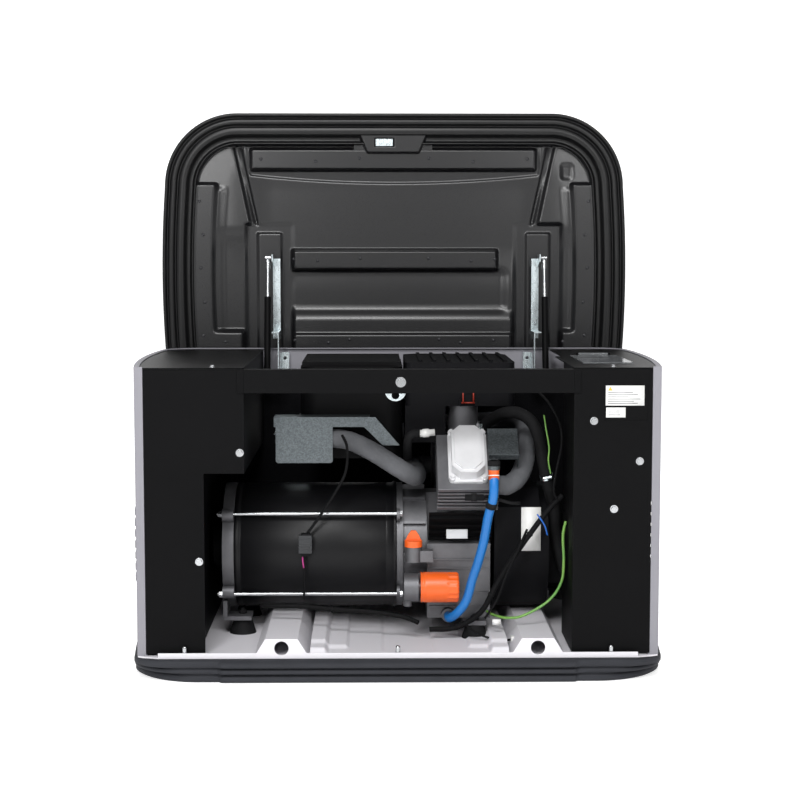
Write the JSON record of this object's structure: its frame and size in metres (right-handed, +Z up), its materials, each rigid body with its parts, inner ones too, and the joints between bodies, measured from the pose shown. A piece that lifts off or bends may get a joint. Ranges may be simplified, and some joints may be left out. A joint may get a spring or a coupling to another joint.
{
  "type": "home standby generator",
  "caption": "Air-cooled home standby generator in a low steel enclosure, lid hinged open and front access panel off, showing the alternator and engine.",
  "frame": {"origin": "centre of the underside of the base pad", "axes": "+Z up, +X to the right as seen from the front access side, +Y to the back"},
  "size_m": [1.164, 0.8, 1.241],
  "materials": {
    "pad_composite": "moulded, fine stipple",
    "light_grey_paint": "satin powder coat",
    "tray_paint": "satin powder coat",
    "black_paint": "satin powder coat, slight orange peel",
    "black_plastic": "moulded, satin",
    "insulation_foam": "black foam board",
    "zinc": "bright zinc plating",
    "bright_steel": "plated",
    "ground_steel": "ground",
    "galvanised": "galvanised spangle",
    "cast_aluminium": "as cast, fine grain",
    "silver_paint": "silver paint on a casting",
    "laminations": "stacked sheet edges",
    "orange_plastic": "moulded",
    "orange_paint": "gloss",
    "rubber": "moulded",
    "blue_hose": "smooth silicone",
    "wire_black": "braided and taped",
    "wire_green": "insulation",
    "exhaust_wrap": "woven heat wrap",
    "window_plastic": "translucent grey",
    "controller_plastic": "moulded",
    "battery_case": "moulded",
    "switch_plastic": "moulded",
    "clip_wire": "red dipped wire"
  },
  "bodies": {
    "frame": {"base_pad": "pad_composite", "base_tray": "tray_paint", "left_side_panel": "light_grey_paint", "right_side_panel": "light_grey_paint", "rear_panel": "light_grey_paint", "rear_insulation": "insulation_foam", "left_duct_box": "black_paint", "right_control_box": "black_paint", "left_top_plate": "black_paint", "right_top_plate": "black_paint", "front_crossbar": "black_paint", "latch_striker": "zinc", "hinge_brackets": "zinc", "enclosure_screws": "bright_steel", "front_studs": "bright_steel", "inlet_duct": "black_plastic", "stator_housing": "black_paint", "stator_core": "laminations", "end_bracket": "cast_aluminium", "tie_rods": "bright_steel", "engine_adapter": "cast_aluminium", "rear_bearing": "ground_steel", "brush_cover": "black_plastic", "crankcase": "cast_aluminium", "cylinders": "cast_aluminium", "cylinder_heads": "cast_aluminium", "valve_covers": "silver_paint", "cylinder_shrouds": "black_paint", "blower_housing": "black_plastic", "oil_filter_base": "cast_aluminium", "oil_filter": "orange_paint", "spark_plug_lead": "rubber", "air_box": "black_plastic", "fuel_mixer": "cast_aluminium", "gas_regulator": "cast_aluminium", "fuel_hose": "rubber", "exhaust_pipes": "exhaust_wrap", "muffler": "black_paint", "heat_shield": "galvanised", "head_shield": "galvanised", "starter_motor": "black_paint", "drain_hose": "blue_hose", "rubber_mounts": "rubber", "wiring_harness": "wire_black", "sensor_lead": "wire_black", "ground_wire": "wire_green", "controller": "controller_plastic", "battery": "battery_case"},
    "lid": {"lid_shell": "black_paint", "lid_liner": "black_plastic", "hinge_arms": "zinc"},
    "strut_tubes": {"strut_tubes": "black_paint"},
    "strut_rods": {"strut_rods": "bright_steel"},
    "rotor": {"drive_shaft": "ground_steel", "rotor_core": "laminations", "flywheel": "cast_aluminium"},
    "oil_filler_cap": {"oil_filler_cap": "orange_plastic"},
    "air_box_clip": {"air_box_clip": "clip_wire"},
    "control_window": {"control_window": "window_plastic"},
    "mode_switch": {"mode_switch": "switch_plastic"}
  },
  "joints": [
    {"name": "lid_hinge", "type": "hinge", "parent": "frame", "child": "lid", "pos_m": [0, 0.287, 0.602], "axis": [1, 0, 0], "range_deg": [0, 90]},
    {"name": "strut_swing", "type": "hinge", "parent": "frame", "child": "strut_tubes", "pos_m": [0, 0.268, 0.585], "axis": [1, 0, 0], "range_deg": [0, 89]},
    {"name": "strut_slide", "type": "slide", "parent": "strut_tubes", "child": "strut_rods", "axis": [0, 0.208, 0.9781], "range_m": [-0.0357, 0]},
    {"name": "crankshaft_spin", "type": "hinge", "parent": "frame", "child": "rotor", "pos_m": [0, -0.02, 0.237], "axis": [1, 0, 0], "continuous": true},
    {"name": "oil_cap_turn", "type": "hinge", "parent": "frame", "child": "oil_filler_cap", "pos_m": [0.035, -0.18, 0.26], "axis": [0, 0, -1], "range_deg": [-90, 0]},
    {"name": "air_box_clip_swing", "type": "hinge", "parent": "frame", "child": "air_box_clip", "pos_m": [0.1605, -0.065, 0.564], "axis": [-1, 0, 0], "range_deg": [-100, 0]},
    {"name": "control_window_hinge", "type": "hinge", "parent": "frame", "child": "control_window", "pos_m": [0.454, 0.04, 0.6665], "axis": [1, 0, 0], "range_deg": [-100, 0]},
    {"name": "mode_switch_rock", "type": "hinge", "parent": "frame", "child": "mode_switch", "pos_m": [0.446, -0.14, 0.648], "axis": [1, 0, 0], "range_deg": [-12, 12]}
  ],
  "couplings": [
    {"joint": "strut_swing", "follows": "lid_hinge", "ratio": 0.9871},
    {"joint": "strut_slide", "follows": "lid_hinge", "m_per_rad": -0.022646}
  ]
}
